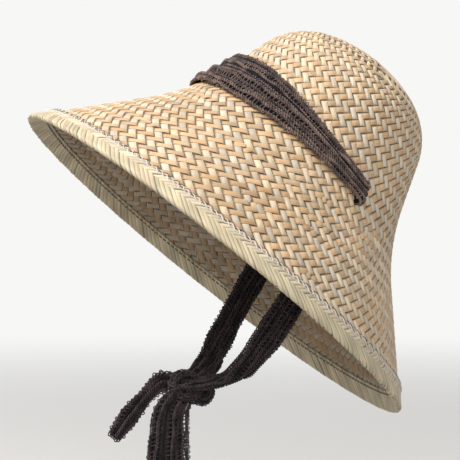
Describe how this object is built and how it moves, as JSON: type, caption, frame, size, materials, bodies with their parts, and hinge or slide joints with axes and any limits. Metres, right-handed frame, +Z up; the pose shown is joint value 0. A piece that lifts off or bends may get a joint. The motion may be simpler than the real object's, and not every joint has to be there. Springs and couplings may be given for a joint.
{
  "type": "woven straw bell hat with a tied scarf",
  "caption": "Bell-shaped woven straw sun hat in its worn, tilted-back pose, with a crocheted scarf through side slits that ties under the chin.",
  "frame": {"origin": "middle of the head opening, on the crown's axis where the crown meets the brim", "axes": "+Z up and -Y forward (the wearer's face) in the worn pose, +X to the wearer's left; the crown's axis leans back 39 degrees from +Z towards +Y"},
  "size_m": [0.3132, 0.2943, 0.4376],
  "materials": {
    "straw": "satin",
    "hem_straw": "satin",
    "wire": "satin",
    "thread": "matte",
    "crochet": "matte"
  },
  "bodies": {
    "hat": {"woven_body": "straw", "brim_hem": "hem_straw", "brim_wire": "wire", "hem_stitching": "thread", "scarf_crown_band": "crochet"},
    "chin_tie": {"scarf_strap_left": "crochet", "scarf_strap_right": "crochet", "scarf_knot": "crochet"},
    "long_tail": {"scarf_tail_long": "crochet"},
    "short_tail": {"scarf_tail_short": "crochet"}
  },
  "joints": [
    {"name": "chin_tie_swing", "type": "hinge", "parent": "hat", "child": "chin_tie", "pos_m": [0, 0.02856, -0.01963], "axis": [1, 0, 0], "range_deg": [-45, 35]},
    {"name": "long_tail_swing", "type": "hinge", "parent": "chin_tie", "child": "long_tail", "pos_m": [0.012, -0.08164, -0.15794], "axis": [1, 0, 0], "range_deg": [-45, 45]},
    {"name": "short_tail_swing", "type": "hinge", "parent": "chin_tie", "child": "short_tail", "pos_m": [0.012, -0.08164, -0.15794], "axis": [1, 0, 0], "range_deg": [-45, 45], "stiffness_Nm_per_rad": 0.004}
  ]
}
